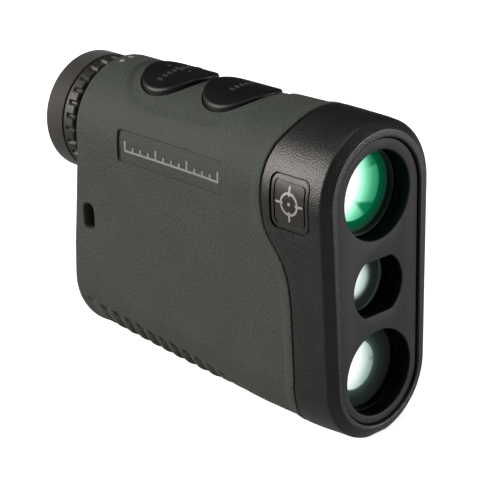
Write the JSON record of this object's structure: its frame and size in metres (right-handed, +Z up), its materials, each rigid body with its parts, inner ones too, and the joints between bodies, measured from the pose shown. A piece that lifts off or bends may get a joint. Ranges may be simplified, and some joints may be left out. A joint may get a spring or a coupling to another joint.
{
  "type": "laser rangefinder",
  "caption": "Hand-held monocular laser rangefinder with sight, emitter and receiver lenses, press buttons on top, a turning diopter eyepiece and a hinged battery door.",
  "frame": {"origin": "bottom centre of the bounding box, on the flat strip under the front bezel", "axes": "+Z up, -Y the direction the lenses look, +Y towards the eyepiece, +X the user's left"},
  "size_m": [0.0356, 0.0996, 0.0763],
  "materials": {
    "armor_green": "fine stippled soft-touch skin, matte",
    "bezel_black": "fine-textured moulding, satin",
    "plate_black": "fine-textured moulding, satin",
    "badge_black": "smooth semi-gloss",
    "button_black": "smooth moulded rubber, satin",
    "eyecup_rubber": "smooth matte rubber",
    "ring_black": "moulded, satin",
    "seal_rubber": "smooth",
    "coated_glass": "polished, green anti-reflection coating",
    "clear_glass": "polished",
    "barrel_black": "black anodised",
    "inner_plastic": "moulded, matte",
    "screw_steel": "zinc plated",
    "contact_metal": "nickel plated",
    "sensor_can": "gold plated",
    "board_green": "solder mask over laminate",
    "flex_film": "amber film",
    "display_glass": "polished",
    "battery_jacket": "printed sleeve, semi-gloss"
  },
  "bodies": {
    "housing": {"body_shell": "armor_green", "front_bezel": "bezel_black", "badge_plate_right": "badge_black", "badge_plate_left": "badge_black", "front_plate": "plate_black", "bezel_screw_upper_right": "screw_steel", "bezel_screw_upper_left": "screw_steel", "bezel_screw_lower_right": "screw_steel", "bezel_screw_lower_left": "screw_steel", "chassis": "inner_plastic", "objective_barrel": "barrel_black", "objective_retainer": "barrel_black", "objective_lens": "coated_glass", "emitter_barrel": "barrel_black", "emitter_lens": "clear_glass", "laser_diode": "sensor_can", "laser_board": "board_green", "receiver_barrel": "barrel_black", "receiver_retainer": "barrel_black", "receiver_lens": "clear_glass", "photodiode": "sensor_can", "receiver_board": "board_green", "prism_holder": "inner_plastic", "wedge_prism": "clear_glass", "roof_prism": "clear_glass", "reticle_display": "display_glass", "eyepiece_tube": "barrel_black", "eyepiece_o_ring": "seal_rubber", "eyepiece_clip": "screw_steel", "measure_switch": "screw_steel", "menu_switch": "screw_steel", "button_board": "board_green", "main_board": "board_green", "board_screw_front": "screw_steel", "board_screw_rear": "screw_steel", "flex_cable": "flex_film", "battery_sleeve": "inner_plastic", "battery": "battery_jacket", "battery_spring": "contact_metal", "door_seal": "seal_rubber", "door_pin": "screw_steel"},
    "diopter": {"diopter_ring": "ring_black", "eyecup": "eyecup_rubber"},
    "ocular": {"ocular_cell": "barrel_black", "field_lens": "clear_glass", "lens_spacer": "barrel_black", "eye_lens": "clear_glass", "ocular_retainer": "barrel_black"},
    "measure_key": {"measure_button": "button_black", "measure_plunger": "inner_plastic"},
    "menu_key": {"menu_button": "button_black", "menu_plunger": "inner_plastic"},
    "door": {"battery_door": "armor_green", "door_contact": "contact_metal"}
  },
  "joints": [
    {"name": "diopter_turn", "type": "hinge", "parent": "housing", "child": "diopter", "pos_m": [0, 0.04285, 0.05858], "axis": [0, 1, 0], "range_deg": [-60, 60]},
    {"name": "ocular_focus", "type": "slide", "parent": "housing", "child": "ocular", "axis": [0, 1, 0], "range_m": [-0.0012, 0.0012]},
    {"name": "measure_press", "type": "slide", "parent": "housing", "child": "measure_key", "axis": [0, 0, -1], "range_m": [0, 0.0008], "stiffness_N_per_m": 1500, "springref_m": -0.0004},
    {"name": "menu_press", "type": "slide", "parent": "housing", "child": "menu_key", "axis": [0, 0, -1], "range_m": [0, 0.0008], "stiffness_N_per_m": 1500, "springref_m": -0.0004},
    {"name": "door_swing", "type": "hinge", "parent": "housing", "child": "door", "pos_m": [0, 0.04005, 0.01245], "axis": [-1, 0, 0], "range_deg": [0, 95]}
  ],
  "couplings": [
    {"joint": "diopter_turn", "follows": "ocular_focus", "rad_per_m": 872}
  ]
}
